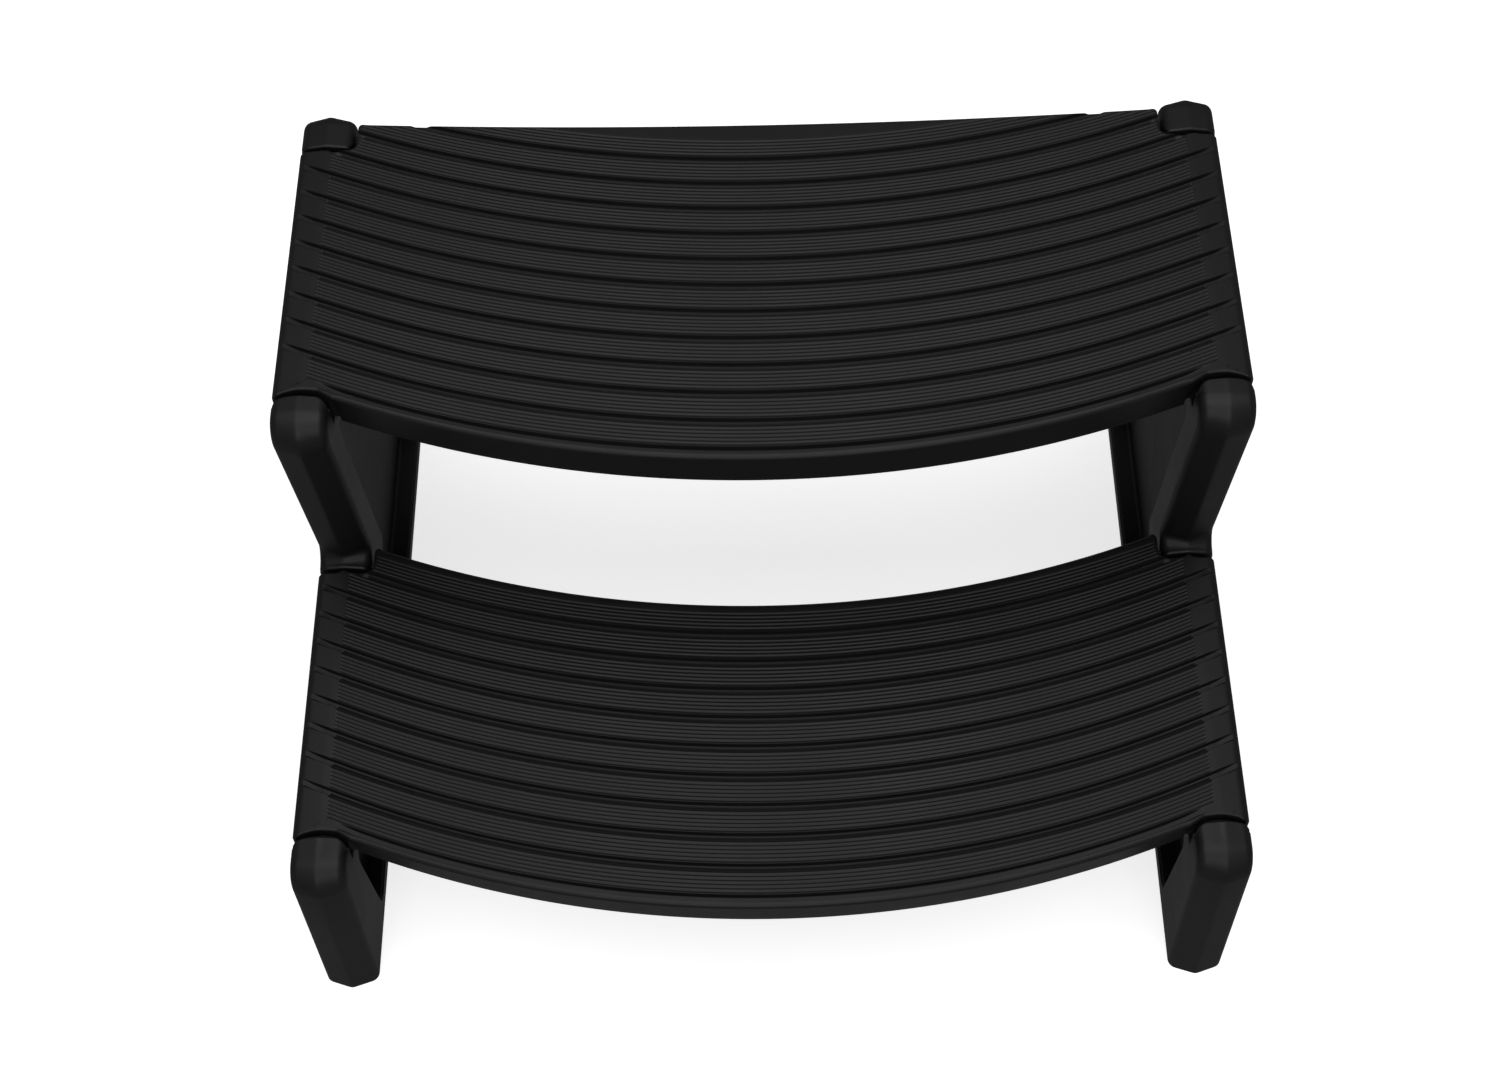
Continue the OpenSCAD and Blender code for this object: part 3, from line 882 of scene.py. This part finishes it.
def steel_material():
    """Zinc-plated screw steel: fine turning marks and patchy plating."""
    mat, tree, shader = nodes_of("screw_steel")
    coords = tree.nodes.new("ShaderNodeTexCoord").outputs["Object"]
    patch = noise(tree, coords, 350, 4.0, 0.6)
    turning = tree.nodes.new("ShaderNodeTexWave")
    turning.bands_direction = "X"
    turning.inputs["Scale"].default_value = 900
    turning.inputs["Distortion"].default_value = 0.6
    tree.links.new(coords, turning.inputs["Vector"])
    mix = tree.nodes.new("ShaderNodeMix")
    mix.data_type = "RGBA"
    mix.inputs["A"].default_value = (0.42, 0.42, 0.43, 1)
    mix.inputs["B"].default_value = (0.62, 0.62, 0.60, 1)
    tree.links.new(patch, mix.inputs["Factor"])
    tree.links.new(mix.outputs["Result"], shader.inputs["Base Color"])
    shader.inputs["Metallic"].default_value = 1.0
    tree.links.new(spread(tree, patch, 0.3, 0.7, 0.28, 0.45), shader.inputs["Roughness"])
    bump = tree.nodes.new("ShaderNodeBump")
    bump.inputs["Strength"].default_value = 0.25
    bump.inputs["Distance"].default_value = 0.00005
    tree.links.new(turning.outputs["Fac"], bump.inputs["Height"])
    tree.links.new(bump.outputs["Normal"], shader.inputs["Normal"])
    return mat


def floor_material():
    """Pale studio floor that glows a little, as a lit backdrop does."""
    mat, tree, shader = nodes_of("studio_floor")
    coords = tree.nodes.new("ShaderNodeTexCoord").outputs["Object"]
    soft = noise(tree, coords, 3.0, 2.0, 0.5)
    mix = tree.nodes.new("ShaderNodeMix")
    mix.data_type = "RGBA"
    mix.inputs["A"].default_value = (0.90, 0.90, 0.90, 1)
    mix.inputs["B"].default_value = (0.92, 0.92, 0.92, 1)
    tree.links.new(soft, mix.inputs["Factor"])
    tree.links.new(mix.outputs["Result"], shader.inputs["Base Color"])
    shader.inputs["Roughness"].default_value = 0.9
    shader.inputs["Specular IOR Level"].default_value = 0.1
    shader.inputs["Emission Color"].default_value = (1.0, 1.0, 1.0, 1)
    shader.inputs["Emission Strength"].default_value = 0.72
    return mat


# ---------------------------------------------------------------- build the object
plastic = plastic_material()
steel = steel_material()
treads = [make_tread(1, "lower_tread_moulding", "lower_tread"),
          make_tread(2, "upper_tread_moulding", "upper_tread")]
frames = [make_frame(-1, "left_frame_moulding", "left_side_frame"),
          make_frame(1, "right_frame_moulding", "right_side_frame")]
for piece in treads + frames:
    piece.data.materials.clear()
    piece.data.materials.append(plastic)
for node in ("lower_left_screws", "lower_right_screws", "upper_left_screws", "upper_right_screws"):
    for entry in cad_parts[node].material_slots:
        entry.material = steel

# ---------------------------------------------------------------- floor, light and camera
half = 6.0
floor = new_object("floor", [(-half * MM, -half * MM, 0), (half * MM, -half * MM, 0),
                             (half * MM, half * MM, 0), (-half * MM, half * MM, 0)], [(0, 1, 2, 3)])
floor.data.materials.append(floor_material())
floor.visible_glossy = False

world = bpy.data.worlds.new("studio")
bpy.context.scene.world = world
world.use_nodes = True
world.node_tree.nodes["Background"].inputs["Color"].default_value = (1.0, 1.0, 1.0, 1)
world.node_tree.nodes["Background"].inputs["Strength"].default_value = 0.12


def area_light(name, place_m, size, energy, aim=(0.0, 0.0, 0.15)):
    """A soft rectangular light at a place in metres, turned towards aim."""
    data = bpy.data.lights.new(name, "AREA")
    data.shape = "RECTANGLE"
    data.size, data.size_y = size
    data.energy = energy
    obj = bpy.data.objects.new(name, data)
    bpy.context.scene.collection.objects.link(obj)
    way = np.array(aim) - np.array(place_m)
    way /= np.linalg.norm(way)
    right = np.cross(way, (0.0, 1.0, 0.0))
    right /= np.linalg.norm(right)
    up = np.cross(right, way)
    matrix = Matrix([[right[i], up[i], -way[i], place_m[i]] for i in range(3)] + [[0, 0, 0, 1]])
    obj.matrix_world = matrix
    return obj


area_light("overhead", (0.0, 0.0, 3.2), (3.6, 3.2), 58)
area_light("front", (0.0, -3.0, 2.4), (3.0, 1.6), 30)

CAMERA_AT = (4.5, NOSE[1] - 657.6, 1733.1)
PITCH_DOWN, YAW, ROLL = math.radians(58.02), math.radians(-0.961), math.radians(1.88)
forward = np.array([math.sin(YAW) * math.cos(PITCH_DOWN), math.cos(YAW) * math.cos(PITCH_DOWN),
                    -math.sin(PITCH_DOWN)])
right = np.array([math.cos(YAW), -math.sin(YAW), 0.0])
down = np.cross(forward, right)
across = right * math.cos(ROLL) + down * math.sin(ROLL)
below = -right * math.sin(ROLL) + down * math.cos(ROLL)
camera_data = bpy.data.cameras.new("camera")
camera_data.sensor_width = 36.0
camera_data.lens = 56.04
camera = bpy.data.objects.new("camera", camera_data)
bpy.context.scene.collection.objects.link(camera)
camera.matrix_world = Matrix([[across[i], -below[i], -forward[i], CAMERA_AT[i] / MM]
                              for i in range(3)] + [[0, 0, 0, 1]])
bpy.context.scene.camera = camera
bpy.context.scene.view_settings.view_transform = "Standard"
